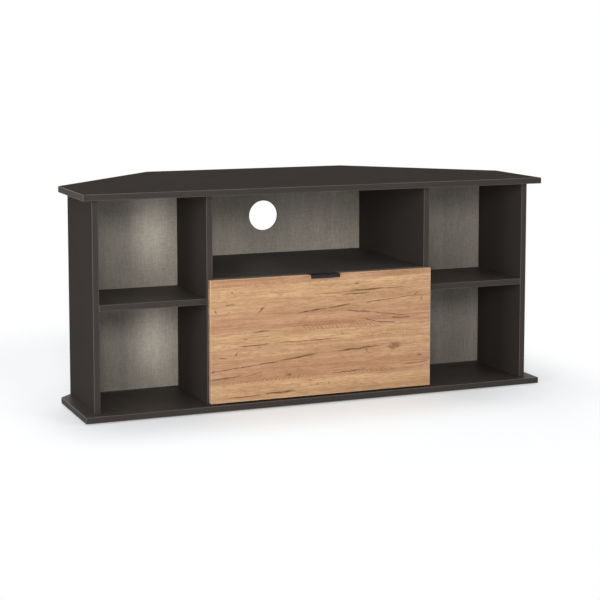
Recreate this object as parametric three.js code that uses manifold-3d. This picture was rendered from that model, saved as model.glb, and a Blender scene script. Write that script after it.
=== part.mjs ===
// Corner television cabinet: two side bays with a shelf each, a niche over a wide drawer,
// and a top and a base board whose rear corners are cut off to fit the corner of a room.
// Millimetres. +X is to the right seen from the front, +Y is to the back, +Z is up.
// The origin is on the floor, in the middle of the cabinet's width and depth.

import * as THREE from 'three';
import { mergeVertices } from 'three/addons/utils/BufferGeometryUtils.js';
import Module from 'manifold-3d';

const wasm = await Module();
wasm.setup();

// Joints between the pieces
const seam = 0.3;
const overrun = 1;

// Sheet goods
const boardThickness = 15;
const backThickness = 3;

// Top and base boards: the straight end is the short edge in front of the 45 degree corner
const topWidth = 1200;
const topDepth = 555;
const straightEnd = 236;
const frontOverhang = 26;
const sideOverhang = 27;

// Carcass: y is 0 in the plane of the uprights' front edges
const uprightHeight = 503;
const sidePanelDepth = 228;
const partitionDepth = 395;
const nicheWidth = 559;
const bayShelfHeight = 242;
const drawerSpaceHeight = 288;
const middleShelfSetback = 2;

// Back panels
const backEdgeInset = 2;
const backEndGap = 0.7;
const backGrooveDepth = 5;
const cableHoleDiameter = 79;
const cableHoleSides = 48;

// Glides under the base board
const glideRadius = 10;
const glideThickness = 3;
const glideChamfer = 0.8;
const glideNailRadius = 1.1;
const glideNailLength = 10;
const glideInset = 35;

// Wood connecting screws, up through the base board into the uprights
const fastenerInset = 50;
const fastenerSides = 12;
const screwLength = 50;
const screwHeadRadius = 5;
const screwHeadRim = 1;
const screwHeadHeight = 4;
const screwNeckRadius = 3.5;
const screwNeckLength = 14;
const screwThreadRadius = 3;
const screwTipLength = 4;
const screwSocketRadius = 2.3;
const screwSocketDepth = 2.5;
const screwSocketSides = 6;
const screwSink = 0.4;

// Cam fittings: a round cam in the face of one board draws in a bolt set in the next board
const camRadius = 7.5;
const camHeight = 12;
const camSides = 20;
const camInset = 24;
const camSlotLength = 9;
const camSlotWidth = 1.6;
const camSlotDepth = 2;
const boltRadius = 3;
const boltReach = 10;

// Shelf pins
const pinRadius = 2.5;
const pinLength = 17;
const pinSeat = 9;
const pinChamfer = 0.5;
const pinInset = 37;

// Drawer front, which laps over the partitions' front edges, and drawer box
const frontThickness = 15;
const frontOverlap = 12;
const frontRise = 3.4;
const frontDrop = 1.1;
const frontGap = 1.5;
const drawerBoardThickness = 12;
const drawerSideLength = 350;
const drawerRise = 20;
const drawerHeadroom = 63;
const drawerGrooveRise = 12;
const drawerGrooveDepth = 6;

// Edge handle, bent from sheet: a flange behind the front, a plate over it and a lip before it
const handleWidth = 76;
const handleSheet = 1.2;
const handleInnerBend = 0.5;
const handleBendSteps = 3;
const handleReach = 13.8;
const handleLipHeight = 9.3;
const handleFlangeHeight = 32;
const handleScrewDrop = 22;
const handleScrewSpacing = 48;
const handleScrewRadius = 1.75;
const handleScrewLength = 12;
const handleScrewHeadRadius = 3.2;
const handleScrewHeadHeight = 1.5;

// Ball-bearing slides: an outer member on the partition, a middle one, an inner one on the drawer
const slideSpace = 12.7;
const slideLength = 350;
const slideHeight = 45;
const slideSheet = 1.2;
const slideRunningGap = 0.6;
const slideFrontInset = 3;
const slideRise = 90;
const outerMemberDepth = 9;
const middleMemberDepth = 8;
const middleMemberOffset = 2;
const innerMemberDepth = 8.1;

// Levels
const baseBottom = glideThickness + seam;
const baseTop = baseBottom + boardThickness;
const uprightBottom = baseTop + seam;
const uprightTop = uprightBottom + uprightHeight;
const topBottom = uprightTop + seam;
const bayShelfBottom = baseTop + bayShelfHeight;
const middleShelfBottom = baseTop + drawerSpaceHeight;
const middleShelfTop = middleShelfBottom + boardThickness;
const frontBottom = baseTop + frontRise;
const frontTop = middleShelfTop - frontDrop;
const drawerBottom = baseTop + drawerRise;
const drawerTop = middleShelfBottom - drawerHeadroom;
const drawerGrooveBottom = drawerBottom + drawerGrooveRise;
const drawerGrooveTop = drawerGrooveBottom + backThickness + 2 * seam;
const slideLevel = drawerBottom + slideRise;

// Half widths, from the middle plane outwards
const topHalf = topWidth / 2;
const rearHalf = topHalf - (topDepth - straightEnd);
const carcassHalf = topHalf - sideOverhang;
const bayOuter = carcassHalf - boardThickness;
const nicheHalf = nicheWidth / 2;
const frontHalf = nicheHalf + frontOverlap;
const bayInner = nicheHalf + boardThickness;
const drawerHalf = nicheHalf - slideSpace;
const drawerInner = drawerHalf - drawerBoardThickness;

// Places along the depth
const topFront = -frontOverhang;
const topRear = topFront + topDepth;
const frontRear = -frontGap;
const frontFace = frontRear - frontThickness;
const handleFace = frontFace - handleReach;
const drawerFront = frontRear + seam;
const drawerRear = drawerFront + drawerSideLength;

const sides = [
  { side: 'left', sign: -1 },
  { side: 'right', sign: 1 },
];

function finish(color, roughness, metalness = 0) {
  return new THREE.MeshStandardMaterial({ color, roughness, metalness, flatShading: true });
}

const graphiteBoard = finish(0x3e3a37, 0.6);
const oakBoard = finish(0xc69c6d, 0.55);
const linenPanel = finish(0x8b8780, 0.75);
const drawerBoard = finish(0x4a4643, 0.6);
const blackSheet = finish(0x16181b, 0.4, 0.3);
const zincSteel = finish(0xb4b7ba, 0.35, 0.9);
const darkZinc = finish(0x3a3b3d, 0.5, 0.5);
const darkPlastic = finish(0x1c1c1d, 0.55);

const cabinet = new THREE.Group();

function toSolid(geometry) {
  const bare = geometry.clone();
  bare.deleteAttribute('normal');
  bare.deleteAttribute('uv');
  const merged = mergeVertices(bare);
  return new wasm.Manifold(
    new wasm.Mesh({
      numProp: 3,
      vertProperties: Float32Array.from(merged.attributes.position.array),
      triVerts: Uint32Array.from(merged.index.array),
    }),
  );
}

function toGeometry(solid) {
  const mesh = solid.getMesh();
  const geometry = new THREE.BufferGeometry();
  geometry.setAttribute('position', new THREE.BufferAttribute(mesh.vertProperties, 3));
  geometry.setIndex(new THREE.BufferAttribute(mesh.triVerts, 1));
  return geometry;
}

function carve(geometry, cutters) {
  let solid = toSolid(geometry);
  for (const cutter of cutters) {
    solid = solid.subtract(toSolid(cutter));
  }
  return toGeometry(solid);
}

function fuse(first, second) {
  return toGeometry(toSolid(first).add(toSolid(second)));
}

// A block between two values on each axis
function block([x0, x1], [y0, y1], [z0, z1]) {
  const geometry = new THREE.BoxGeometry(x1 - x0, y1 - y0, z1 - z0);
  return geometry.translate((x0 + x1) / 2, (y0 + y1) / 2, (z0 + z1) / 2);
}

// The same two values on the left or on the right of the middle plane
function mirrored(sign, inner, outer) {
  return sign < 0 ? [-outer, -inner] : [inner, outer];
}

// A rod along +Z between two heights
function rod(radius, z0, z1, rodSides) {
  const geometry = new THREE.CylinderGeometry(radius, radius, z1 - z0, rodSides);
  return geometry.rotateX(Math.PI / 2).translate(0, 0, (z0 + z1) / 2);
}

// A shape turned about +Z, from [radius, height] points listed from the bottom up
function turned(points, turnedSides) {
  const profile = points.map(([radius, height]) => new THREE.Vector2(radius, height));
  return new THREE.LatheGeometry(profile, turnedSides).rotateX(Math.PI / 2);
}

function addMesh(name, geometry, material) {
  const mesh = new THREE.Mesh(geometry, material);
  mesh.name = name;
  cabinet.add(mesh);
  return mesh;
}

// A flat piece with its lowest corner at its position, less cutters given in the cabinet's frame
function addBoard(name, xRange, yRange, zRange, material, cutters = []) {
  const corner = new THREE.Vector3(xRange[0], yRange[0], zRange[0]);
  const blank = block(xRange, yRange, zRange);
  const geometry = cutters.length ? carve(blank, cutters) : blank;
  geometry.translate(-corner.x, -corner.y, -corner.z);
  const mesh = addMesh(name, geometry, material);
  mesh.position.copy(corner);
}

// A fitting turned and placed in the cabinet; gives back the hole that it needs, in place
function addFitting(name, geometry, hole, position, turn, material) {
  const mesh = addMesh(name, geometry, material);
  mesh.position.copy(position);
  mesh.quaternion.copy(turn);
  mesh.updateMatrix();
  return hole.clone().applyMatrix4(mesh.matrix);
}

function along(x, y, z) {
  const direction = new THREE.Vector3(x, y, z);
  return new THREE.Quaternion().setFromUnitVectors(new THREE.Vector3(0, 0, 1), direction);
}

// The turn that takes +X to the bolt's direction and +Z into the board
function camTurn(bolt, inward) {
  const across = new THREE.Vector3().crossVectors(inward, bolt);
  const basis = new THREE.Matrix4().makeBasis(bolt, across, inward);
  return new THREE.Quaternion().setFromRotationMatrix(basis);
}

function connectingScrew() {
  const body = turned(
    [
      [0, 0],
      [screwHeadRadius, 0],
      [screwHeadRadius, screwHeadRim],
      [screwNeckRadius, screwHeadHeight],
      [screwNeckRadius, screwNeckLength],
      [screwThreadRadius, screwNeckLength + seam],
      [screwThreadRadius, screwLength - screwTipLength],
      [0, screwLength],
    ],
    fastenerSides,
  );
  return carve(body, [rod(screwSocketRadius, -overrun, screwSocketDepth, screwSocketSides)]);
}

function connectingScrewHole() {
  return turned(
    [
      [0, -overrun],
      [screwHeadRadius + seam, -overrun],
      [screwHeadRadius + seam, screwHeadRim + seam],
      [screwNeckRadius + seam, screwHeadHeight + seam],
      [screwNeckRadius + seam, screwLength + seam],
      [0, screwLength + seam],
    ],
    fastenerSides,
  );
}

// The cam's face is at the board's face, and the bolt runs through the middle of the board
function camFitting() {
  const cam = rod(camRadius, 0, camHeight, camSides);
  const bolt = rod(boltRadius, 0, camInset + boltReach, fastenerSides);
  bolt.rotateY(Math.PI / 2).translate(0, 0, boardThickness / 2);
  const slotRange = [-camSlotLength / 2, camSlotLength / 2];
  const slotWidthRange = [-camSlotWidth / 2, camSlotWidth / 2];
  const slotDepthRange = [-overrun, camSlotDepth];
  return carve(fuse(cam, bolt), [
    block(slotRange, slotWidthRange, slotDepthRange),
    block(slotWidthRange, slotRange, slotDepthRange),
  ]);
}

function camFittingHole() {
  const pocket = rod(camRadius + seam, -overrun, camHeight + seam, camSides);
  const bore = rod(boltRadius + seam, 0, camInset + boltReach + seam, fastenerSides);
  bore.rotateY(Math.PI / 2).translate(0, 0, boardThickness / 2);
  return fuse(pocket, bore);
}

function shelfPin() {
  const tip = pinRadius - pinChamfer;
  return turned(
    [
      [0, pinSeat - pinLength],
      [tip, pinSeat - pinLength],
      [pinRadius, pinSeat - pinLength + pinChamfer],
      [pinRadius, pinSeat - pinChamfer],
      [tip, pinSeat],
      [0, pinSeat],
    ],
    fastenerSides,
  );
}

function glide() {
  return turned(
    [
      [0, 0],
      [glideRadius - glideChamfer, 0],
      [glideRadius, glideChamfer],
      [glideRadius, glideThickness],
      [glideNailRadius, glideThickness],
      [glideNailRadius, glideThickness + glideNailLength - glideNailRadius],
      [0, glideThickness + glideNailLength],
    ],
    fastenerSides,
  );
}

// Its head stands behind the handle's flange, and its shank points along +Z
function handleScrew() {
  return turned(
    [
      [0, -handleScrewHeadHeight - seam],
      [handleScrewHeadRadius - seam, -handleScrewHeadHeight - seam],
      [handleScrewHeadRadius, -handleScrewHeadHeight],
      [handleScrewHeadRadius, -seam],
      [handleScrewRadius, -seam],
      [handleScrewRadius, handleScrewLength - handleScrewRadius],
      [0, handleScrewLength],
    ],
    fastenerSides,
  );
}

// Each upright's middle plane, its depth, and the side that its cam pockets open to
const uprights = [
  { name: 'side_panel_left', x: boardThickness / 2 - carcassHalf, depth: sidePanelDepth, opens: 1 },
  { name: 'partition_left', x: -nicheHalf - boardThickness / 2, depth: partitionDepth, opens: 1 },
  { name: 'partition_right', x: nicheHalf + boardThickness / 2, depth: partitionDepth, opens: 1 },
  { name: 'side_panel_right', x: carcassHalf - boardThickness / 2, depth: sidePanelDepth, opens: -1 },
];

const cuts = {
  top_board: [],
  base_board: [],
  middle_shelf: [],
  drawer_front: [],
  drawer_handle: [],
};
for (const upright of uprights) {
  cuts[upright.name] = [];
}

function addConnectingScrews() {
  const geometry = connectingScrew();
  const hole = connectingScrewHole();
  for (const { name, x, depth } of uprights) {
    const rows = [
      { row: 'front', y: fastenerInset },
      { row: 'rear', y: depth - fastenerInset },
    ];
    for (const { row, y } of rows) {
      const position = new THREE.Vector3(x, y, baseBottom + screwSink);
      const turn = along(0, 0, 1);
      const placed = addFitting(`screw_${name}_${row}`, geometry, hole, position, turn, zincSteel);
      cuts.base_board.push(placed);
      cuts[name].push(placed);
    }
  }
}

function addTopCams() {
  const geometry = camFitting();
  const hole = camFittingHole();
  for (const { name, x, depth, opens } of uprights) {
    const rows = [
      { row: 'front', y: fastenerInset },
      { row: 'rear', y: depth - fastenerInset },
    ];
    const turn = camTurn(new THREE.Vector3(0, 0, 1), new THREE.Vector3(-opens, 0, 0));
    for (const { row, y } of rows) {
      const position = new THREE.Vector3(x + opens * boardThickness / 2, y, uprightTop - camInset);
      const placed = addFitting(`cam_${name}_${row}`, geometry, hole, position, turn, darkZinc);
      cuts.top_board.push(placed);
      cuts[name].push(placed);
    }
  }
}

function addMiddleShelfCams() {
  const geometry = camFitting();
  const hole = camFittingHole();
  const rows = [
    { row: 'front', y: fastenerInset },
    { row: 'rear', y: partitionDepth - fastenerInset },
  ];
  for (const { side, sign } of sides) {
    const turn = camTurn(new THREE.Vector3(sign, 0, 0), new THREE.Vector3(0, 0, 1));
    for (const { row, y } of rows) {
      const position = new THREE.Vector3(sign * (nicheHalf - camInset), y, middleShelfBottom);
      const name = `cam_middle_shelf_${side}_${row}`;
      const placed = addFitting(name, geometry, hole, position, turn, darkZinc);
      cuts.middle_shelf.push(placed);
      cuts[`partition_${side}`].push(placed);
    }
  }
}

// Four pins under each side shelf: two in the side panel and two in the partition
function addShelfPins() {
  const geometry = shelfPin();
  const hole = rod(pinRadius + seam, -overrun, pinSeat + seam, fastenerSides);
  const level = bayShelfBottom - seam - pinRadius;
  const rows = [
    { row: 'front', y: pinInset },
    { row: 'rear', y: sidePanelDepth - pinInset },
  ];
  for (const { side, sign } of sides) {
    const carriers = [
      { carrier: `side_panel_${side}`, end: 'outer', x: sign * bayOuter, towards: sign },
      { carrier: `partition_${side}`, end: 'inner', x: sign * bayInner, towards: -sign },
    ];
    for (const { carrier, end, x, towards } of carriers) {
      for (const { row, y } of rows) {
        const position = new THREE.Vector3(x, y, level);
        const name = `shelf_pin_${side}_${end}_${row}`;
        const placed = addFitting(name, geometry, hole, position, along(towards, 0, 0), darkZinc);
        cuts[carrier].push(placed);
      }
    }
  }
}

function addGlides() {
  const geometry = glide();
  const hole = rod(glideNailRadius + seam, 0, glideThickness + glideNailLength + seam, fastenerSides);
  const places = [
    { place: 'front', x: topHalf - glideInset, y: topFront + glideInset },
    { place: 'side', x: topHalf - 2 * glideInset, y: topFront + straightEnd - glideInset },
    { place: 'rear', x: rearHalf - glideInset, y: topRear - glideInset },
  ];
  for (const { side, sign } of sides) {
    for (const { place, x, y } of places) {
      const position = new THREE.Vector3(sign * x, y, 0);
      const name = `glide_${side}_${place}`;
      cuts.base_board.push(addFitting(name, geometry, hole, position, along(0, 0, 1), darkPlastic));
    }
  }
}

// The outline that the top and the base share, with both rear corners cut off
function cornerBoard() {
  const outline = new THREE.Shape();
  outline.moveTo(-topHalf, 0);
  outline.lineTo(topHalf, 0);
  outline.lineTo(topHalf, straightEnd);
  outline.lineTo(rearHalf, topDepth);
  outline.lineTo(-rearHalf, topDepth);
  outline.lineTo(-topHalf, straightEnd);
  outline.closePath();
  return new THREE.ExtrudeGeometry(outline, { depth: boardThickness, bevelEnabled: false });
}

function addCornerBoard(name, bottom) {
  const cutters = cuts[name].map((cutter) => cutter.clone().translate(0, -topFront, -bottom));
  const mesh = addMesh(name, carve(cornerBoard(), cutters), graphiteBoard);
  mesh.position.set(0, topFront, bottom);
}

function addUprights() {
  for (const { side, sign } of sides) {
    addBoard(
      `side_panel_${side}`,
      mirrored(sign, bayOuter, carcassHalf),
      [0, sidePanelDepth],
      [uprightBottom, uprightTop],
      graphiteBoard,
      cuts[`side_panel_${side}`],
    );
    const backGroove = block(
      mirrored(sign, bayInner - backGrooveDepth, bayInner + overrun),
      [sidePanelDepth, sidePanelDepth + backThickness + 2 * seam],
      [uprightBottom - overrun, uprightTop + overrun],
    );
    addBoard(
      `partition_${side}`,
      mirrored(sign, nicheHalf, bayInner),
      [0, partitionDepth],
      [uprightBottom, uprightTop],
      graphiteBoard,
      [backGroove, ...cuts[`partition_${side}`]],
    );
  }
}

function addShelves() {
  addBoard(
    'middle_shelf',
    [seam - nicheHalf, nicheHalf - seam],
    [middleShelfSetback, partitionDepth],
    [middleShelfBottom, middleShelfTop],
    graphiteBoard,
    cuts.middle_shelf,
  );
  for (const { side, sign } of sides) {
    addBoard(
      `side_shelf_${side}`,
      mirrored(sign, bayInner + seam, bayOuter - seam),
      [0, sidePanelDepth],
      [bayShelfBottom, bayShelfBottom + boardThickness],
      graphiteBoard,
    );
  }
}

// The side bays' panels stand in the partitions' grooves and lie on the side panels' rear edges
function addBackPanels() {
  const zRange = [uprightBottom + backEndGap, uprightTop - backEndGap];
  for (const { side, sign } of sides) {
    addBoard(
      `back_panel_${side}`,
      mirrored(sign, bayInner - backGrooveDepth + seam, carcassHalf - backEdgeInset),
      [sidePanelDepth + seam, sidePanelDepth + seam + backThickness],
      zRange,
      linenPanel,
    );
  }
  const panelFront = partitionDepth + seam;
  const holeLevel = (middleShelfTop + topBottom) / 2;
  const hole = rod(cableHoleDiameter / 2, -overrun, backThickness + overrun, cableHoleSides);
  hole.rotateX(-Math.PI / 2).translate(0, panelFront, holeLevel);
  addBoard(
    'back_panel_middle',
    [backEdgeInset - bayInner, bayInner - backEdgeInset],
    [panelFront, panelFront + backThickness],
    zRange,
    linenPanel,
    [hole],
  );
}

// Two screws hold the handle's flange to the rear face of the drawer front
function addHandleScrews() {
  const geometry = handleScrew();
  const hole = rod(handleScrewRadius + seam, -overrun, handleScrewLength + seam, fastenerSides);
  const flangeRear = frontRear + seam + handleSheet;
  for (const { side, sign } of sides) {
    const position = new THREE.Vector3(
      sign * handleScrewSpacing / 2,
      flangeRear,
      frontTop - handleScrewDrop,
    );
    const turn = along(0, -1, 0);
    const placed = addFitting(`handle_screw_${side}`, geometry, hole, position, turn, zincSteel);
    cuts.drawer_handle.push(placed);
    cuts.drawer_front.push(placed);
  }
}

// The handle's section in the plane of depth and height
function handleSection() {
  const rear = frontRear + seam + handleSheet;
  const top = frontTop + seam + handleSheet;
  const bend = handleInnerBend + handleSheet;
  const lipBottom = top - handleLipHeight;
  const flangeBottom = top - handleFlangeHeight;
  const section = new THREE.Shape();
  section.moveTo(rear, flangeBottom);
  section.lineTo(rear, top - bend);
  section.absarc(rear - bend, top - bend, bend, 0, Math.PI / 2, false);
  section.lineTo(handleFace + bend, top);
  section.absarc(handleFace + bend, top - bend, bend, Math.PI / 2, Math.PI, false);
  section.lineTo(handleFace, lipBottom);
  section.lineTo(handleFace + handleSheet, lipBottom);
  section.lineTo(handleFace + handleSheet, top - bend);
  section.absarc(handleFace + bend, top - bend, handleInnerBend, Math.PI, Math.PI / 2, true);
  section.lineTo(rear - bend, top - handleSheet);
  section.absarc(rear - bend, top - bend, handleInnerBend, Math.PI / 2, 0, true);
  section.lineTo(rear - handleSheet, flangeBottom);
  section.closePath();
  return section;
}

function addHandle() {
  const geometry = new THREE.ExtrudeGeometry(handleSection(), {
    depth: handleWidth,
    bevelEnabled: false,
    curveSegments: handleBendSteps,
  });
  const basis = new THREE.Matrix4().makeBasis(
    new THREE.Vector3(0, 1, 0),
    new THREE.Vector3(0, 0, 1),
    new THREE.Vector3(1, 0, 0),
  );
  geometry.applyMatrix4(basis).translate(-handleWidth / 2, 0, 0);
  addMesh('drawer_handle', carve(geometry, cuts.drawer_handle), blackSheet);
}

// The bottom panel slides into one groove that runs round the sides and the front
function addDrawer() {
  const grooveLevels = [drawerGrooveBottom, drawerGrooveTop];
  const frontGroove = block(
    [-drawerInner - drawerGrooveDepth, drawerInner + drawerGrooveDepth],
    [frontRear - drawerGrooveDepth, frontRear + overrun],
    grooveLevels,
  );
  addBoard(
    'drawer_front',
    [-frontHalf, frontHalf],
    [frontFace, frontRear],
    [frontBottom, frontTop],
    oakBoard,
    [frontGroove, ...cuts.drawer_front],
  );
  for (const { side, sign } of sides) {
    const sideGroove = block(
      mirrored(sign, drawerInner - overrun, drawerInner + drawerGrooveDepth),
      [drawerFront - overrun, drawerRear + overrun],
      grooveLevels,
    );
    addBoard(
      `drawer_side_${side}`,
      mirrored(sign, drawerInner, drawerHalf),
      [drawerFront, drawerRear],
      [drawerBottom, drawerTop],
      drawerBoard,
      [sideGroove],
    );
  }
  const backHalf = drawerInner - seam;
  addBoard(
    'drawer_back',
    [-backHalf, backHalf],
    [drawerRear - drawerBoardThickness, drawerRear],
    [drawerGrooveTop, drawerTop],
    drawerBoard,
  );
  const bottomHalf = drawerInner + drawerGrooveDepth - seam;
  addBoard(
    'drawer_bottom',
    [-bottomHalf, bottomHalf],
    [frontRear - drawerGrooveDepth + seam, drawerRear],
    [drawerGrooveBottom + seam, drawerGrooveBottom + seam + backThickness],
    linenPanel,
  );
}

// A channel's section with its web on x = 0 and its lips pointing to the given side
function channelSection(depth, halfHeight, sign) {
  const web = sign * slideSheet;
  const lip = sign * depth;
  const section = new THREE.Shape();
  section.moveTo(0, -halfHeight);
  section.lineTo(lip, -halfHeight);
  section.lineTo(lip, slideSheet - halfHeight);
  section.lineTo(web, slideSheet - halfHeight);
  section.lineTo(web, halfHeight - slideSheet);
  section.lineTo(lip, halfHeight - slideSheet);
  section.lineTo(lip, halfHeight);
  section.lineTo(0, halfHeight);
  section.closePath();
  return section;
}

function addSlideMember(name, section, x) {
  const geometry = new THREE.ExtrudeGeometry(section, { depth: slideLength, bevelEnabled: false });
  const mesh = addMesh(name, geometry, zincSteel);
  mesh.rotation.x = Math.PI / 2;
  mesh.position.set(x, slideFrontInset + slideLength, slideLevel);
}

// The members nest: each one's lips run inside the lips of the member before it
function addSlides() {
  const nesting = slideSheet + slideRunningGap;
  const outerHalf = slideHeight / 2;
  const middleHalf = outerHalf - nesting;
  const innerHalf = middleHalf - nesting;
  for (const { side, sign } of sides) {
    const partitionFace = nicheHalf - seam;
    const drawerFace = drawerHalf + seam;
    addSlideMember(
      `slide_outer_${side}`,
      channelSection(outerMemberDepth, outerHalf, -sign),
      sign * partitionFace,
    );
    addSlideMember(
      `slide_middle_${side}`,
      channelSection(middleMemberDepth, middleHalf, -sign),
      sign * (partitionFace - middleMemberOffset),
    );
    addSlideMember(
      `slide_inner_${side}`,
      channelSection(innerMemberDepth, innerHalf, sign),
      sign * drawerFace,
    );
  }
}

addConnectingScrews();
addTopCams();
addMiddleShelfCams();
addShelfPins();
addGlides();
addHandleScrews();
addCornerBoard('base_board', baseBottom);
addUprights();
addShelves();
addCornerBoard('top_board', topBottom);
addBackPanels();
addSlides();
addDrawer();
addHandle();

const frontReach = Math.min(topFront, handleFace);
cabinet.position.y = -(frontReach + topRear) / 2;

export default cabinet;
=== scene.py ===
import math

import bmesh
import bpy
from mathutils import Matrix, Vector


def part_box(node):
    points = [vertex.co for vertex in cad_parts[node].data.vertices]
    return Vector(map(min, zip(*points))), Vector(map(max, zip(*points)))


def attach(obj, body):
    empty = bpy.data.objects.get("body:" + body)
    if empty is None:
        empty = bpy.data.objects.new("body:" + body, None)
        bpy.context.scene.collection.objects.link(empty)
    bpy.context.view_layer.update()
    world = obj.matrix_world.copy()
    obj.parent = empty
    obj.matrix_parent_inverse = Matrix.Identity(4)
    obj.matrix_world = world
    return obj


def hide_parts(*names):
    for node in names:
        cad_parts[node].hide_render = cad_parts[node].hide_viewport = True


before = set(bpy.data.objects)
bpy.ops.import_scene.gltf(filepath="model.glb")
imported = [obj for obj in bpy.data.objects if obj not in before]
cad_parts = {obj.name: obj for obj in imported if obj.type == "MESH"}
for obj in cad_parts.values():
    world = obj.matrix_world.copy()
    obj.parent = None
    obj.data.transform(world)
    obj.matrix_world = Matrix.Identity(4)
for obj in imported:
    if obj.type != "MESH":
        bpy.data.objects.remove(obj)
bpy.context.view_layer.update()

# The camera: the photograph's own standpoint, to the left of the middle and a little above the top board.
# It was fitted to the boards' edges and corners. The shift lifts the cabinet to the middle of the picture.
camera_data = bpy.data.cameras.new("camera")
camera_data.sensor_width = 36
camera_data.lens = 97.72
camera_data.shift_y = -0.15
camera = bpy.data.objects.new("camera", camera_data)
camera_yaw = 0.3871
camera_pitch = 0.1076
camera.location = (-1.5358, -3.8811, 0.9013)
camera.rotation_euler = (math.pi / 2 - camera_pitch, 0, -camera_yaw)
bpy.context.scene.collection.objects.link(camera)
bpy.context.scene.camera = camera


# The studio: a pale floor and a soft sky, with six rectangular lamps round the cabinet and three spots.
# The floor and the sky are white to the camera and in reflections, and the floor keeps the cabinet's shadow,
# with a painted pool of shade before its front edge.
class Strand:
    """A socket in a node tree. A sum that is written on strands adds its Math nodes."""

    def __init__(self, bench, socket):
        self.bench = bench
        self.socket = socket

    def __add__(self, other):
        return self.bench.maths("ADD", self, other)

    def __sub__(self, other):
        return self.bench.maths("SUBTRACT", self, other)

    def __rsub__(self, other):
        return self.bench.maths("SUBTRACT", other, self)

    def __mul__(self, other):
        return self.bench.maths("MULTIPLY", self, other)

    def __truediv__(self, other):
        return self.bench.maths("DIVIDE", self, other)

    def __rtruediv__(self, other):
        return self.bench.maths("DIVIDE", other, self)

    __radd__ = __add__
    __rmul__ = __mul__


class Bench:
    """Builds one node tree."""

    def __init__(self, tree):
        self.tree = tree

    def feed(self, socket, value):
        if isinstance(value, Strand):
            self.tree.links.new(value.socket, socket)
        else:
            socket.default_value = value

    def node(self, kind, settings, inputs):
        """Adds a node: first its settings, then the values or links of its sockets. Gives its outputs."""
        made = self.tree.nodes.new(kind)
        for setting, value in settings.items():
            setattr(made, setting, value)
        sockets = [socket for socket in made.inputs if socket.enabled]
        for key, value in inputs.items():
            if isinstance(key, str):
                self.feed(next(socket for socket in sockets if socket.name == key), value)
            else:
                self.feed(sockets[key], value)
        return [Strand(self, socket) for socket in made.outputs if socket.enabled]

    def picked(self, name, kind, settings, inputs):
        """The output of that name on a new node."""
        return next(output for output in self.node(kind, settings, inputs) if output.socket.name == name)

    def maths(self, operation, *values):
        return self.node("ShaderNodeMath", {"operation": operation}, dict(enumerate(values)))[0]

    def between(self, value, low, high):
        """0 at low, 1 at high, and a smooth step from one to the other."""
        inputs = {"Value": value, "From Min": low, "From Max": high}
        return self.node("ShaderNodeMapRange", {"interpolation_type": "SMOOTHSTEP"}, inputs)[0]

    def mixed(self, share, first, second, way="MIX"):
        settings = {"data_type": "RGBA", "blend_type": way}
        return self.node("ShaderNodeMix", settings, {"Factor": share, "A": first, "B": second})[0]

    def scaled(self, vector, x, y, z):
        return self.node("ShaderNodeVectorMath", {"operation": "MULTIPLY"}, {0: vector, 1: (x, y, z)})[0]

    def noise(self, vector, scale, detail=2.0, roughness=0.5):
        inputs = {"Vector": vector, "Scale": scale, "Detail": detail, "Roughness": roughness}
        return self.node("ShaderNodeTexNoise", {}, inputs)[0]


def paint(red, green, blue):
    """A colour as a picture shows it, 0 to 255, made linear by the sRGB curve."""
    shares = [part / 255 for part in (red, green, blue)]
    return tuple(s / 12.92 if s <= 0.04045 else ((s + 0.055) / 1.055) ** 2.4 for s in shares) + (1.0,)


def white_rays(bench):
    """1 for the rays that see the studio itself: the camera's, mirrored ones and those through glass."""
    rays = {ray.socket.name: ray for ray in bench.node("ShaderNodeLightPath", {}, {})}
    seen = rays["Is Camera Ray"] + rays["Is Glossy Ray"] + rays["Is Transmission Ray"]
    return bench.maths("MINIMUM", seen, 1.0)


pure_white = (1.0, 1.0, 1.0, 1.0)
warm_white = (1.0, 0.985, 0.96, 1.0)
studio_light = 0.24
world = bpy.data.worlds.new("studio")
world.use_nodes = True
world.node_tree.nodes.clear()
air = Bench(world.node_tree)
glow = air.node("ShaderNodeBackground", {}, {"Color": warm_white, "Strength": studio_light})[0]
white = air.node("ShaderNodeBackground", {}, {"Color": pure_white, "Strength": 1.0})[0]
sky = air.node("ShaderNodeMixShader", {}, {0: white_rays(air), 1: glow, 2: white})[0]
air.node("ShaderNodeOutputWorld", {}, {"Surface": sky})
bpy.context.scene.world = world

floor_reach = 9.0
floor_mesh = bpy.data.meshes.new("floor")
floor_corners = [(x * floor_reach, y * floor_reach, 0) for x, y in ((-1, -1), (1, -1), (1, 1), (-1, 1))]
floor_mesh.from_pydata(floor_corners, [], [(0, 1, 2, 3)])
floor = bpy.data.objects.new("floor", floor_mesh)
bpy.context.scene.collection.objects.link(floor)
floor_paint = bpy.data.materials.new("pale_floor")
floor_paint.use_nodes = True
floor_paint.node_tree.nodes.clear()
ground = Bench(floor_paint.node_tree)
floor_place = ground.picked("Object", "ShaderNodeTexCoord", {}, {})
floor_x, floor_y, _ = ground.node("ShaderNodeSeparateXYZ", {}, {0: floor_place})
floor_far = ground.node("ShaderNodeVectorMath", {"operation": "LENGTH"}, {0: floor_place})[0]

# The floor turns white between two distances from the middle, and between two distances to its left and right
white_from, white_to = 0.72, 1.2
beside_from, beside_to = 0.61, 0.88
beside = ground.between(ground.maths("ABSOLUTE", floor_x), beside_from, beside_to)
floor_fade = ground.maths("MAXIMUM", ground.between(floor_far, white_from, white_to), beside)
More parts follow.
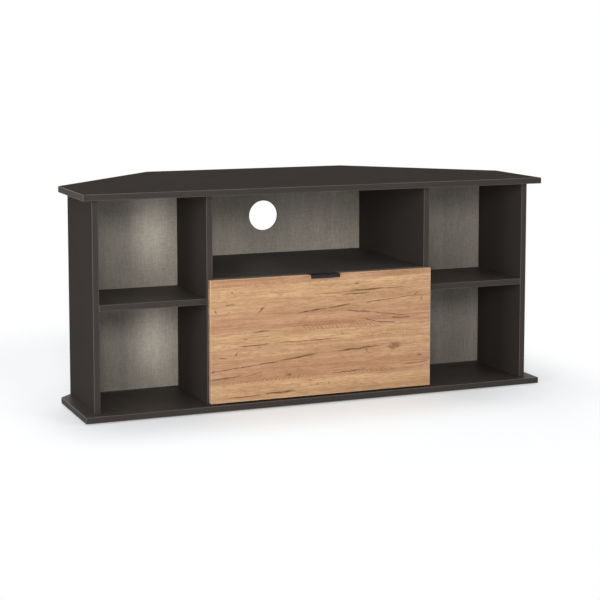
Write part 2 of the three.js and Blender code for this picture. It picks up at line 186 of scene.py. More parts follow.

# A painted pool of shade lies before the front edge of the base, where the photograph has its darkest shadow:
# there the floor's white glow is lowered
pool_x, pool_y = -0.08, -0.27
pool_half_length, pool_half_depth, pool_fade = 0.44, 0.04, 0.24
floor_glow = 0.43
painted_shade_strength = 0.12
past_end = ground.maths("MAXIMUM", ground.maths("ABSOLUTE", floor_x - pool_x) - pool_half_length, 0.0)
past_edge = ground.maths("MAXIMUM", ground.maths("ABSOLUTE", floor_y - pool_y) - pool_half_depth, 0.0)
past_pool = ground.maths("SQRT", past_end * past_end + past_edge * past_edge)
painted_pool = 1 - ground.between(past_pool, 0.0, pool_fade)
# The glow that the camera sees is lowered inside the painted pool: painted shade on the floor
glow_seen = white_rays(ground) * (floor_glow - painted_pool * painted_shade_strength)
floor_cast = ground.node("ShaderNodeBsdfDiffuse", {}, {"Color": (0.77, 0.8, 0.83, 1.0)})[0]
floor_lift = ground.node("ShaderNodeEmission", {}, {"Color": pure_white, "Strength": glow_seen})[0]
floor_near = ground.node("ShaderNodeAddShader", {}, {0: floor_cast, 1: floor_lift})[0]
floor_white = ground.node("ShaderNodeEmission", {}, {"Color": pure_white, "Strength": 1.0})[0]
fade_seen = floor_fade * white_rays(ground)
floor_seen = ground.node("ShaderNodeMixShader", {}, {0: fade_seen, 1: floor_near, 2: floor_white})[0]
ground.node("ShaderNodeOutputMaterial", {}, {"Surface": floor_seen})
floor_mesh.materials.append(floor_paint)


def hang_lamp(name, lamp_data, place, target):
    """Hangs a lamp at its place. It looks at the target and isn't seen by the camera or in reflections."""
    lamp = bpy.data.objects.new(name, lamp_data)
    lamp.location = place
    lamp.rotation_euler = (Vector(target) - Vector(place)).to_track_quat("-Z", "Y").to_euler()
    lamp.visible_camera = False
    lamp.visible_glossy = False
    bpy.context.scene.collection.objects.link(lamp)
    return lamp


cabinet_middle = (0, 0, 0.27)


def soft_lamp(name, place, width, height, power):
    """A rectangular lamp that looks at the middle of the cabinet. Its sides are in metres."""
    lamp_data = bpy.data.lights.new(name, "AREA")
    lamp_data.shape = "RECTANGLE"
    lamp_data.size = width
    lamp_data.size_y = height
    lamp_data.energy = power
    hang_lamp(name, lamp_data, place, cabinet_middle)


soft_lamp("top_lamp", (-0.2, 0.3, 3.0), 2.4, 1.4, 19)
soft_lamp("key_lamp", (-1.55, -4.0, 1.75), 0.9, 0.9, 47)
soft_lamp("side_lamp", (-2.9, -3.3, 0.7), 1.4, 1.0, 51)
soft_lamp("left_lamp", (-3.6, -1.5, 1.0), 1.0, 1.0, 40)
soft_lamp("right_lamp", (2.68, -2.97, 1.1), 0.9, 1.1, 39)
soft_lamp("rear_lamp", (0.9, 4.2, 0.9), 1.6, 1.0, 40)


def bay_spot(name, place, target, beam, slimness, power):
    """A spot on a back panel, with a soft oval beam: its height in degrees, and its width over its height."""
    spot_data = bpy.data.lights.new(name, "SPOT")
    spot_data.spot_size = math.radians(beam)
    spot_data.spot_blend = 1
    spot_data.shadow_soft_size = 0.035
    spot_data.energy = power
    spot = hang_lamp(name, spot_data, place, target)
    spot.scale = (slimness, 1, 1)


bay_spot("upper_bay_spot", (-1.5, -3.9, 0.45), (-0.361, -0.021, 0.405), 3.1, 0.45, 265)
bay_spot("lower_bay_spot", (-1.5, -3.9, 0.25), (-0.361, -0.021, 0.135), 3.1, 0.45, 285)
bay_spot("niche_spot", (-1.5, -3.9, 0.9), (0.03, 0.146, 0.35), 3.3, 2.6, 85)
bpy.context.scene.view_settings.view_transform = "Standard"


# The base and the top: two hexagons of 15 mm chipboard, faced with graphite melamine.
# A band of the same graphite is glued round their edges, and its rounded arrises catch the light; they are
# also painted lighter than the band, as a painted highlight.
class Finish(Bench):
    """A material, with its shader and the place on the piece."""

    def __init__(self, name, constants):
        self.material = bpy.data.materials.new(name)
        self.material.use_nodes = True
        super().__init__(self.material.node_tree)
        self.shader = self.tree.nodes["Principled BSDF"]
        self.place = self.picked("Object", "ShaderNodeTexCoord", {}, {})
        self.give(constants)

    def give(self, values):
        for name, value in values.items():
            self.feed(self.shader.inputs[name], value)

    def bump(self, height, depth, strength=1.0):
        """Raises the surface by a height of 0 to 1, times a depth in metres."""
        inputs = {"Strength": strength, "Distance": depth, "Height": height}
        self.give({"Normal": self.node("ShaderNodeBump", {}, inputs)[0]})


def melamine(name, colour, roughness, gloss):
    """Pressed melamine: an even colour with a fine pearl, a faint cloud and a slight orange peel."""
    made = Finish(name, {"Specular IOR Level": gloss})
    cloud = made.noise(made.place, 9, 3)
    pearl = made.noise(made.place, 1500, 2)
    grit = made.noise(made.place, 380, 3, 0.7)
    smear = made.noise(made.scaled(made.place, 1.0, 0.35, 1.0), 24, 3, 0.6)
    # The cloud, the pearl and the grit take the colour a fifth down or up
    dark, light = [tuple(part * share for part in colour[:3]) + (1.0,) for share in (0.8, 1.2)]
    made.give({"Base Color": made.mixed(cloud * 0.4 + pearl * 0.3 + grit * 0.3, dark, light)})
    made.give({"Roughness": roughness - 0.06 + smear * 0.12})
    made.bump(pearl * 0.5 + grit * 0.5, 0.00008, 0.6)
    return made.material


def chipboard(name):
    """The bare core: light and dark chips, coarse in the middle of the board."""
    made = Finish(name, {"Roughness": 0.9, "Specular IOR Level": 0.1})
    flakes = made.picked("Color", "ShaderNodeTexVoronoi", {}, {"Vector": made.place, "Scale": 420.0})
    coarse = made.noise(made.place, 260, 4, 0.7)
    wood = made.mixed(made.between(coarse, 0.3, 0.7), paint(150, 118, 82), paint(196, 168, 126))
    made.give({"Base Color": made.mixed(0.25, wood, flakes, "SOFT_LIGHT")})
    made.bump(coarse, 0.0004)
    return made.material


def merged_board(node):
    """A CAD node's triangles merged into whole faces, as a shape that can be worked on."""
    board = bmesh.new()
    board.from_mesh(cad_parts[node].data)
    bmesh.ops.remove_doubles(board, verts=board.verts, dist=1e-6)
    bmesh.ops.dissolve_limit(board, angle_limit=math.radians(1), verts=board.verts, edges=board.edges)
    board.normal_update()
    return board


def outer_faces(board):
    """The faces that have the whole board behind them, so no wall of a hole or groove."""
    slack = 1e-5
    places = [vert.co.copy() for vert in board.verts]
    found = set()
    for face in board.faces:
        level = face.normal.dot(face.verts[0].co) + slack
        if all(face.normal.dot(place) < level for place in places):
            found.add(face)
    return found


def round_edges(shape, edges, radius, segments, finish):
    """Rounds edges of a shape. The finish is a number in its list of finishes."""
    rounded = bmesh.ops.bevel(
        shape, geom=edges, offset=radius, segments=segments, profile=0.5, affect="EDGES", material=finish
    )
    for face in rounded["faces"]:
        face.smooth = True


def add_piece(name, shape, finishes, body, node):
    """Makes a finished shape a piece of a body, in the place of a CAD node, and gives its mesh."""
    piece_mesh = bpy.data.meshes.new(name)
    shape.to_mesh(piece_mesh)
    shape.free()
    for finish in finishes:
        piece_mesh.materials.append(finish)
    piece = bpy.data.objects.new(name, piece_mesh)
    bpy.context.scene.collection.objects.link(piece)
    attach(piece, body)
    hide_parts(node)
    return piece_mesh


# The order of a board's finishes: its two faces, its edge band, its arrises and its bare core
on_face, on_band, on_arris, on_core = range(4)


def banded_board(node, body, finishes, rounding):
    """A CAD node as a real board, with its edge band, its rounded arrises and its bare core."""
    board = merged_board(node)
    outer = outer_faces(board)
    low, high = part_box(node)
    thin = min(range(3), key=lambda axis: (high - low)[axis])
    for face in board.faces:
        face.material_index = on_face
        if face not in outer:
            face.material_index = on_core
        elif abs(face.normal[thin]) < 0.5:
            face.material_index = on_band
    least_corner = 0.5  # in radians
    outer_edges = [edge for edge in board.edges if set(edge.link_faces) <= outer]
    arrises = [edge for edge in outer_edges if edge.calc_face_angle(0) > least_corner]
    round_edges(board, arrises, rounding, 3, on_arris)
    add_piece("banded_" + node, board, finishes, body, node)


graphite_face = melamine("graphite_face", paint(58, 53, 50), 0.8, 0.01)
graphite_band = melamine("graphite_band", paint(62, 57, 54), 0.6, 0.06)
# The arrises are lighter than the band: a painted highlight on top of their real gloss
graphite_arris_highlight = melamine("graphite_arris_highlight", paint(90, 84, 79), 0.4, 0.3)
bare_chipboard = chipboard("bare_chipboard")
graphite_finishes = [graphite_face, graphite_band, graphite_arris_highlight, bare_chipboard]
arris_round = 0.001
banded_board("top_board", "root", graphite_finishes, arris_round)
base_finishes = [melamine("graphite_base_face", paint(62, 57, 54), 0.5, 0.14)] + graphite_finishes[1:]
banded_board("base_board", "root", base_finishes, arris_round)


# The uprights and shelves: straight boards of the same graphite, banded all round, but the shelves' faces are
# painted lighter, the middle shelf's most, as painted light.
# Screws through the base and cams under the top hold the uprights.
# Cams also hold the middle shelf, and the side shelves lie on pins.
for node in ("side_panel_left", "partition_left", "partition_right", "side_panel_right"):
    banded_board(node, "root", graphite_finishes, arris_round)
# The shelves' faces: the graphite painted lighter as painted light, with more gloss
painted_light_shelf_finishes = [melamine("graphite_shelf_face_painted_lighter", paint(65, 60, 56), 0.55, 0.28)] + graphite_finishes[1:]
painted_light_niche_finishes = [melamine("graphite_niche_face_painted_lighter", paint(76, 71, 67), 0.65, 0.22)] + graphite_finishes[1:]
banded_board("side_shelf_left", "root", painted_light_shelf_finishes, arris_round)
banded_board("middle_shelf", "root", painted_light_niche_finishes, arris_round)
banded_board("side_shelf_right", "root", painted_light_shelf_finishes, arris_round)


# The back panels: 3 mm fibreboard, printed with a warm grey linen weave in front and bare and brown behind.
# The middle one has a round cable hole, sawn out, its walls and rounded rim painted near black as painted
# shade. All are nailed on from behind.
def linen(name):
    made = Finish(name, {"Specular IOR Level": 0.4, "Roughness": 0.45})
    slub_up = made.noise(made.scaled(made.place, 620, 1, 22), 1.0, 3, 0.6)
    slub_across = made.noise(made.scaled(made.place, 22, 1, 620), 1.0, 3, 0.6)
    mottle = made.noise(made.place, 210, 3, 0.6)
    drift = made.noise(made.scaled(made.place, 42, 1, 3), 1.0, 2)
    thread = 0.0011
    side, _, height = made.node("ShaderNodeSeparateXYZ", {}, {0: made.place})
    warp = made.maths("SINE", side * (2 * math.pi / thread))
    weft = made.maths("SINE", height * (2 * math.pi / thread))
    weave = warp * weft * 0.5 + 0.5
    shade = slub_up * 0.34 + slub_across * 0.2 + mottle * 0.26 + weave * 0.08 + drift * 0.12
    colour = made.mixed(made.between(shade, 0.3, 0.7), paint(139, 132, 122), paint(192, 184, 171))
    made.give({"Base Color": colour})
    made.bump(weave * 0.5 + slub_up * 0.5, 0.0001, 0.5)
    return made.material


def bare_fibreboard(name, light, dark):
    made = Finish(name, {"Specular IOR Level": 0.15, "Roughness": 0.85})
    fibres = made.noise(made.scaled(made.place, 90, 90, 260), 1.0, 5, 0.7)
    made.give({"Base Color": made.mixed(fibres, dark, light)})
    made.bump(fibres, 0.0001, 0.5)
    return made.material


linen_print = linen("linen_print")
fibreboard_rear = bare_fibreboard("fibreboard_rear", paint(150, 112, 78), paint(112, 80, 54))
fibreboard_cut = bare_fibreboard("fibreboard_cut", paint(150, 140, 122), paint(120, 108, 92))
# Near black: painted shade on the walls and rounded rim of the cable hole
hole_walls_painted_shade = bare_fibreboard("hole_walls_painted_shade", paint(36, 31, 27), paint(22, 19, 17))
panel_finishes = (linen_print, fibreboard_rear, fibreboard_cut, hole_walls_painted_shade)
on_print, on_rear, on_cut, on_painted_hole = range(4)
rim_round = 0.0007
for node in ("back_panel_left", "back_panel_middle", "back_panel_right"):
    panel = merged_board(node)
    outer = outer_faces(panel)
    for face in panel.faces:
        face.material_index = on_print
        if face not in outer:
            face.material_index = on_painted_hole
            face.smooth = True
        elif face.normal.y > 0.5:
            face.material_index = on_rear
        elif face.normal.y > -0.5:
            face.material_index = on_cut
    rims = [edge for edge in panel.edges if len(set(edge.link_faces) & outer) == 1]
    if rims:
        round_edges(panel, rims, rim_round, 2, on_painted_hole)
    add_piece("printed_" + node, panel, panel_finishes, "root", node)


def head_setter():
    """A tree that sets a round head on every place, along its facing, with a cross cut in where asked."""
    tree = bpy.data.node_groups.new("head_setter", "GeometryNodeTree")
    asked = [("Places", "Geometry"), ("Radius", "Float"), ("Height", "Float"), ("Slot", "Float")]
    asked += [("Seed", "Int"), ("Finish", "Material")]
    for title, kind in asked:
        tree.interface.new_socket(title, in_out="INPUT", socket_type="NodeSocket" + kind)
    tree.interface.new_socket("Heads", in_out="OUTPUT", socket_type="NodeSocketGeometry")
    work = Bench(tree)
    places, radius, height, slot, seed, finish = work.node("NodeGroupInput", {}, {})[:len(asked)]

    ball = work.node("GeometryNodeMeshUVSphere", {}, {"Segments": 12, "Rings": 6, "Radius": radius})[0]
    flat = work.node("ShaderNodeCombineXYZ", {}, {0: 1.0, 1: 1.0, 2: height / radius})[0]
    dome = work.node("GeometryNodeTransform", {}, {"Geometry": ball, "Scale": flat})[0]
    crossed = dome
    cross_length = radius * 1.3
    lift = work.node("ShaderNodeCombineXYZ", {}, {0: 0.0, 1: 0.0, 2: height})[0]
    for length, width in ((cross_length, slot), (slot, cross_length)):
        size = work.node("ShaderNodeCombineXYZ", {}, {0: length, 1: width, 2: height * 1.2})[0]
        bar = work.node("GeometryNodeMeshCube", {}, {"Size": size})[0]
        bar = work.node("GeometryNodeTransform", {}, {"Geometry": bar, "Translation": lift})[0]
        inputs = {"Mesh 1": crossed, "Mesh 2": bar}
        crossed = work.node("GeometryNodeMeshBoolean", {"operation": "DIFFERENCE"}, inputs)[0]
    slotted = work.node("FunctionNodeCompare", {"data_type": "FLOAT"}, {"A": slot, "B": 0.0})[0]
    inputs = {"Switch": slotted, "False": dome, "True": crossed}
    head = work.node("GeometryNodeSwitch", {"input_type": "GEOMETRY"}, inputs)[0]

    settings = {"data_type": "FLOAT_VECTOR"}
    facing = work.node("GeometryNodeInputNamedAttribute", settings, {"Name": "facing"})[0]
    stance = work.node("FunctionNodeAlignRotationToVector", {"axis": "Z"}, {"Vector": facing})[0]
    inputs = {"Min": 0.0, "Max": 2 * math.pi, "Seed": seed}
    spin = work.node("FunctionNodeRandomValue", {"data_type": "FLOAT"}, inputs)[0]
    turn = work.node("FunctionNodeAxisAngleToRotation", {}, {"Axis": (0, 0, 1), "Angle": spin})[0]
    inputs = {"Rotation": stance, "Rotate By": turn}
    stance = work.node("FunctionNodeRotateRotation", {"rotation_space": "LOCAL"}, inputs)[0]
    inputs = {"Points": places, "Instance": head, "Rotation": stance}
    heads = work.node("GeometryNodeInstanceOnPoints", {}, inputs)[0]
    heads = work.node("GeometryNodeRealizeInstances", {}, {"Geometry": heads})[0]
    heads = work.node("GeometryNodeSetMaterial", {}, {"Geometry": heads, "Material": finish})[0]
    work.node("NodeGroupOutput", {}, {0: heads})
    return tree


set_heads = head_setter()


def heads_at(name, body, finish, places, radius, height, cross=0.0, seed=1):
    """Sets heads on a body as one mesh. Each place is a point in metres and the way its head faces."""
    carrier_mesh = bpy.data.meshes.new(name + "_places")
    carrier_mesh.from_pydata([point for point, way in places], [], [])
    facing = carrier_mesh.attributes.new("facing", "FLOAT_VECTOR", "POINT")
    for entry, (point, way) in zip(facing.data, places):
        entry.vector = way
    carrier = bpy.data.objects.new(name + "_places", carrier_mesh)
    bpy.context.scene.collection.objects.link(carrier)
    setter = carrier.modifiers.new("heads", "NODES")
    setter.node_group = set_heads
    wanted = {"Radius": radius, "Height": height, "Slot": cross, "Seed": seed, "Finish": finish}
    for item in set_heads.interface.items_tree:
        if item.name in wanted:
            setter[item.identifier] = wanted[item.name]
    ready = carrier.evaluated_get(bpy.context.evaluated_depsgraph_get())
    heads_mesh = bpy.data.meshes.new_from_object(ready)
    bpy.data.objects.remove(carrier)
    heads_mesh.name = name
    for face in heads_mesh.polygons:
        face.use_smooth = True
    heads_mesh.set_sharp_from_angle(angle=math.radians(45))
    heads = bpy.data.objects.new(name, heads_mesh)
    bpy.context.scene.collection.objects.link(heads)
    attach(heads, body)


def zinc(name, colour, roughness):
    made = Finish(name, {"Metallic": 1.0})
    drawn = made.noise(made.scaled(made.place, 900, 14, 900), 1.0, 4, 0.6)
    spangle = made.noise(made.place, 120, 3, 0.6)
    made.give({"Base Color": made.mixed(made.between(spangle, 0.3, 0.7), colour, paint(206, 208, 208))})
    made.give({"Roughness": roughness + drawn * 0.16})
    made.bump(drawn, 0.00004, 0.5)
    return made.material


bright_zinc = zinc("bright_zinc", paint(168, 171, 174), 0.26)
half_board = 0.0075
nail_radius, nail_height = 0.0022, 0.0007
backwards = (0, 1, 0)
# The nails stand in columns over the uprights, and in rows over the shelves
middle_columns, middle_heights = (-0.287, 0.287), (0.045, 0.135, 0.225, 0.36, 0.43, 0.495)
side_column, side_heights = 0.5655, (0.045, 0.115, 0.19, 0.345, 0.42, 0.495)
middle_row, side_row = (-0.19, -0.095, 0, 0.095, 0.19), (0.35, 0.425, 0.5)
middle_row_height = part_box("middle_shelf")[0].z + half_board
side_row_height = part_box("side_shelf_left")[0].z + half_board
middle_panel_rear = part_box("back_panel_middle")[1].y
side_panel_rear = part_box("back_panel_left")[1].y
panel_nails = [((x, middle_panel_rear, z), backwards) for x in middle_columns for z in middle_heights]
panel_nails += [((x, middle_panel_rear, middle_row_height), backwards) for x in middle_row]
for way in (-1, 1):
    panel_nails += [((way * side_column, side_panel_rear, z), backwards) for z in side_heights]
    panel_nails += [((way * x, side_panel_rear, side_row_height), backwards) for x in side_row]
heads_at("panel_nails", "root", bright_zinc, panel_nails, nail_radius, nail_height)


# The slides: three nested members a side, rolled from zinc-plated sheet and cut to 350 mm, full extension.
# Balls run between their curled edges. The outer is screwed to the partition, and the inner to the drawer.
def bent_outline(path, sheet, radius):
    """The outline of a sheet bent along a path: the middle of its thickness, with corners of a radius."""
    line = []
    corners = [Vector(corner) for corner in path]
    bend_steps = 6
    for index, corner in enumerate(corners):
        if index == 0 or index == len(corners) - 1:
            start, end = (corners[0], corners[1]) if index == 0 else (corners[-2], corners[-1])
            heading = (end - start).normalized()
            line.append((corner, Vector((-heading.y, heading.x))))
            continue
        back = (corners[index - 1] - corner).normalized()
        onward = (corners[index + 1] - corner).normalized()
        half = back.angle(onward) / 2
        centre = corner + (back + onward).normalized() * (radius / math.sin(half))
        spoke = corner + back * (radius / math.tan(half)) - centre
        way = 1 if spoke.x * back.y - spoke.y * back.x < 0 else -1
        for step in range(bend_steps + 1):
            turn = way * (math.pi - 2 * half) * step / bend_steps
            cosine, sine = math.cos(turn), math.sin(turn)
            arm = Vector((spoke.x * cosine - spoke.y * sine, spoke.x * sine + spoke.y * cosine))
            line.append((centre + arm, arm.normalized() * -way))
    left = [point + normal * (sheet / 2) for point, normal in line]
    right = [point - normal * (sheet / 2) for point, normal in line]
    return left + right[::-1]


def rolled_sheet(name, outline, spread, finish, body, node, edge=0.0):
    """A sheet part with one section from end to end. Spread gives the two ends of a point of the outline."""
    strip = bmesh.new()
    near = [strip.verts.new(spread(point)[0]) for point in outline]
    far = [strip.verts.new(spread(point)[1]) for point in outline]
    for index in range(len(outline)):
        after = (index + 1) % len(outline)
        strip.faces.new((near[index], near[after], far[after], far[index]))
    strip.faces.new(near)
    strip.faces.new(far)
    bmesh.ops.recalc_face_normals(strip, faces=strip.faces)
    if edge:
        least_corner = 1.0  # in radians
        sharp = [line for line in strip.edges if line.calc_face_angle(0) > least_corner]
        round_edges(strip, sharp, edge, 2, 0)
    for face in strip.faces:
        face.smooth = True
    sheet_mesh = add_piece(name, strip, [finish], body, node)
    sheet_mesh.set_sharp_from_angle(angle=math.radians(50))


slide_sheet = 0.0012
slide_bend = 0.0009
slide_low, slide_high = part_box("slide_outer_right")
slide_level = (slide_low.z + slide_high.z) / 2
slide_near, slide_far = slide_low.y, slide_high.y
# Each member: its name, the way out of its web, its open edge, half its height, how far its edges are curled
members = [
    ("outer", 0.2786, 0.2708, 0.0219, -0.0016),
    ("middle", 0.2766, 0.2698, 0.0171, 0.0018),
    ("inner", 0.2677, 0.2746, 0.0129, 0.0015),
]
# The screws of a member: 1 if they face outwards, how far they stand up, how far from the near end they are
slide_screws = {"outer": (-1, 0.0003, (0.02, 0.17, 0.32)), "inner": (1, 0.0016, (0.035, 0.18, 0.31))}
slide_screw_radius, slide_screw_cross = 0.0034, 0.0009
# The balls of a slide lie in two rows, above and below: in the rear half against the outer member, and in the
# front half against the inner one.
# Each half: the member, the way out, the height from the middle, where it begins and the balls' radius
ball_rows = [("outer", 0.2736, 0.0195, 0.180, 0.00175), ("inner", 0.2714, 0.0150, 0.006, 0.00145)]
balls_in_row, ball_step = 16, 0.0105
for side, way in (("left", -1), ("right", 1)):
    body_of = {"outer": "root", "middle": f"middle_slide_{side}", "inner": "drawer"}

    def slide_spread(point):
        x, z = way * point.x, slide_level + point.y
        return (x, slide_near, z), (x, slide_far, z)

    for member, web, lip, half, curl in members:
        body = body_of[member]
        node = f"slide_{member}_{side}"
        path = [(lip, half + curl), (lip, half), (web, half), (web, -half), (lip, -half), (lip, -half - curl)]
        outline = bent_outline(path, slide_sheet, slide_bend)
        rolled_sheet(f"rolled_{node}", outline, slide_spread, bright_zinc, body, node)
        if member in slide_screws:
            outwards, rise, steps = slide_screws[member]
            face = way * (web + outwards * slide_sheet / 2)
            facing = (way * outwards, 0, 0)
            places = [((face, slide_near + step, slide_level), facing) for step in steps]
            heads_at(
                f"{node}_screws", body, bright_zinc, places,
                slide_screw_radius, rise, slide_screw_cross, seed=2
            )
    for member, x, rise, first, radius in ball_rows:
        balls = []
        for step in range(balls_in_row):
            for level in (-rise, rise):
                place = (way * x, slide_near + first + step * ball_step, slide_level + level)
                balls.append((place, (way, 0, 0)))
        body = body_of["middle"]
        heads_at(f"{member}_balls_{side}", body, bright_zinc, balls, radius, radius)


# The drawer box: sides and back of 12 mm board in dark grey melamine, rounded along their edges.
# The back is screwed between the sides. A 3 mm printed bottom lies in a groove of the sides and the front.
box_face = melamine("box_face", paint(84, 80, 77), 0.6, 0.15)
box_band = melamine("box_band", paint(88, 84, 81), 0.55, 0.2)
box_finishes = [box_face, box_band, box_band, bare_chipboard]
box_round = 0.0011
for node in ("drawer_side_left", "drawer_side_right", "drawer_back"):
    banded_board(node, "drawer", box_finishes, box_round)
bottom_finishes = [linen_print, fibreboard_cut, fibreboard_cut, fibreboard_cut]
bottom_round = 0.0002
banded_board("drawer_bottom", "drawer", bottom_finishes, bottom_round)

box_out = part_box("drawer_side_right")[1].x
box_back_low, box_back_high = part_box("drawer_back")
box_back_depth = (box_back_low.y + box_back_high.y) / 2
box_screw_inset = 0.03
box_screw_radius, box_screw_height, box_screw_cross = 0.0038, 0.0012, 0.001
box_screws = []
for way in (-1, 1):
    for z in (box_back_low.z + box_screw_inset, box_back_high.z - box_screw_inset):
        box_screws.append(((way * box_out, box_back_depth, z), (way, 0, 0)))
heads_at(
    "drawer_box_screws", "drawer", bright_zinc, box_screws,
    box_screw_radius, box_screw_height, box_screw_cross, seed=3
)
bottom_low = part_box("drawer_bottom")[0].z
downwards = (0, 0, -1)
bottom_nails = [((x, box_back_depth, bottom_low), downwards) for x in (-0.2, -0.1, 0, 0.1, 0.2)]
heads_at("drawer_bottom_nails", "drawer", bright_zinc, bottom_nails, nail_radius, nail_height)


# The drawer front: 15 mm chipboard in a golden oak print, its grain along the front, banded in the same oak,
# its arrises painted lighter as a painted highlight.
# The print joins staves in yellower and browner tones, with drying cracks, small knots and arched grain.
front_low, front_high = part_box("drawer_front")


def oak(name, figured, painted_highlight):
    """The oak print. A figured one has the cracks, knots and arches, set out from its top left corner. The
    painted highlight is a share of pale cream laid over it all.
    """
    made = Finish(name, {"Specular IOR Level": 0.25})
    side, _, height = made.node("ShaderNodeSeparateXYZ", {}, {0: made.place})
    along = side - front_low.x
    down = front_high.z - height
    sway = made.noise(made.scaled(made.place, 4, 0, 9), 1.0, 2) - 0.5
    wander = made.noise(made.scaled(made.place, 24, 0, 60), 1.0, 3, 0.6) - 0.5
    level = down + sway * 0.016 + wander * 0.004

    # Staves: where each begins below the top, how sharp its edge is and how brown it is
    staves = [(0.0, 0.001, 1.1), (0.017, 0.0006, 0.05), (0.044, 0.003, 0.3), (0.060, 0.006, 0.45)]
    staves += [(0.090, 0.006, 1.1), (0.1355, 0.0006, 0.1), (0.164, 0.002, 0.6), (0.184, 0.006, 0.5)]
    staves += [(0.205, 0.006, 1.1), (0.252, 0.005, 0.15), (0.283, 0.002, 0.5)]
    brown = staves[0][2]
    for (start, soft, tone), (_, _, tone_above) in zip(staves[1:], staves[:-1]):
        brown = brown + made.between(level, start - soft, start + soft) * (tone - tone_above)

    def streaks(length, thickness, detail, low, high):
        """Grain of a given length and thickness in metres: 1 in the streaks and 0 between them."""
        # Each kind of grain is taken from another depth of the noise, so that no two kinds line up
        inputs = {0: side / length, 1: length * 90, 2: level / thickness}
        place = made.node("ShaderNodeCombineXYZ", {}, inputs)[0]
        return made.between(made.noise(place, 1.0, detail, 0.62), low, high)

    broad = streaks(0.25, 0.011, 3, 0.3, 0.7)
    grain = streaks(0.060, 0.0026, 4, 0.44, 0.72)
    flecks = streaks(0.016, 0.0040, 3, 0.45, 0.75)
    pores = streaks(0.014, 0.0010, 3, 0.48, 0.76)
    light_oak = made.mixed(broad, paint(217, 180, 138), paint(193, 154, 113))
    brown_oak = made.mixed(broad, paint(202, 160, 125), paint(174, 132, 100))
    colour = made.mixed(brown, light_oak, brown_oak)
    colour = made.mixed(grain * 0.56, colour, paint(158, 115, 81))
    colour = made.mixed(flecks * 0.4, colour, paint(150, 107, 74))
    colour = made.mixed(pores * 0.62, colour, paint(134, 94, 64))
    dark = 0.0

    if figured:
        # Arches of late wood: the foot where they meet the joint, the half length and the height of the zone,
        # the spacing of the lines, the height in which they lean over by one spacing, and to which side
        arches = [
            ((0.330, 0.1355), (0.16, 0.040), 0.0100, 0.0105, 1),
            ((0.165, 0.2530), (0.14, 0.042), 0.0110, 0.0110, -1),
            ((0.130, 0.0165), (0.13, 0.022), 0.0080, 0.0075, 1),
            ((0.500, 0.0165), (0.09, 0.022), 0.0080, 0.0075, 1),
            ((0.470, 0.1640), (0.10, 0.026), 0.0095, 0.0085, -1),
            ((0.400, 0.2520), (0.09, 0.026), 0.0120, 0.0090, 1),
        ]
        bend = made.noise(made.scaled(made.place, 22, 0, 60), 1.0, 3, 0.6) * 2.6
        for (foot_x, foot_z), (half_x, tall), spacing, lean, way in arches:
            across = (along - foot_x) / half_x
            upward = (foot_z - level) / tall
            zone = (1 - made.between(across * across, 0.1, 1.0)) * made.between(upward, -0.02, 0.05)
            zone = zone * (1 - made.between(upward, 0.4, 1.0))
            line = (foot_z - level) / lean
            turns = (along - foot_x) / (spacing * way) + line * line + bend
            wave = made.maths("SINE", turns * (2 * math.pi))
            colour = made.mixed(made.between(wave, -0.2, 1.0) * zone * 0.5, colour, paint(140, 95, 64))

        # Cracks: where each starts and ends from the left and the top in metres, and its half width in mm
        cracks = [((0.357, 0.0445), (0.457, 0.0430), 1.2), ((0.240, 0.0500), (0.583, 0.0410), 0.5)]
        cracks += [((0.215, 0.0920), (0.318, 0.0830), 1.2), ((0.300, 0.0845), (0.370, 0.0775), 1.5)]
        cracks += [((0.355, 0.0790), (0.583, 0.0640), 0.6), ((0.350, 0.0925), (0.425, 0.1005), 1.3)]
        cracks += [((0.415, 0.1000), (0.533, 0.1190), 0.7), ((0.400, 0.1160), (0.436, 0.1270), 0.9)]
        cracks += [((0.428, 0.1260), (0.490, 0.1310), 0.9), ((0.100, 0.1320), (0.155, 0.1290), 0.8)]
        cracks += [((0.064, 0.1640), (0.160, 0.1625), 1.4), ((0.145, 0.1630), (0.345, 0.1600), 0.6)]
        cracks += [((-0.010, 0.2215), (0.130, 0.2110), 0.9), ((0.115, 0.2120), (0.180, 0.2060), 1.0)]
        cracks += [((0.165, 0.2070), (0.282, 0.1950), 1.5), ((0.318, 0.1930), (0.452, 0.1870), 1.4)]
        cracks += [((-0.010, 0.2420), (0.086, 0.2340), 0.9), ((0.085, 0.2400), (0.135, 0.2270), 0.7)]
        cracks += [((0.040, 0.2890), (0.140, 0.2850), 0.7), ((0.130, 0.2850), (0.224, 0.2825), 1.4)]
        cracks += [((0.315, 0.2480), (0.412, 0.2420), 0.8), ((0.016, 0.1900), (0.046, 0.1915), 0.9)]
        cracks += [((0.035, 0.0630), (0.064, 0.0610), 1.0), ((0.335, 0.0540), (0.420, 0.0520), 1.1)]
        cracks += [((0.500, 0.2410), (0.583, 0.2350), 0.8), ((0.470, 0.1190), (0.530, 0.1205), 1.0)]
        ragged = made.noise(made.scaled(made.place, 70, 0, 200), 1.0, 3, 0.7)
        # A crack fades across its edge, and is half gone at about its half width
        edge_scale = 600
        for (start_x, start_z), (end_x, end_z), half in cracks:
            share = (along - start_x) / (end_x - start_x)
            taper = made.between(share * (1 - share) * 4, 0.0, 0.9)
            off = made.maths("ABSOLUTE", down - start_z - share * (end_z - start_z) + wander * 0.008)
            stroke = (1 - made.between(off * (edge_scale / half), 0.1, 1.3)) * (ragged * 1.8)
            dark = made.maths("MAXIMUM", dark, taper * made.maths("MINIMUM", stroke, 1.0))
        colour = made.mixed(dark * 0.95, colour, paint(88, 58, 38))

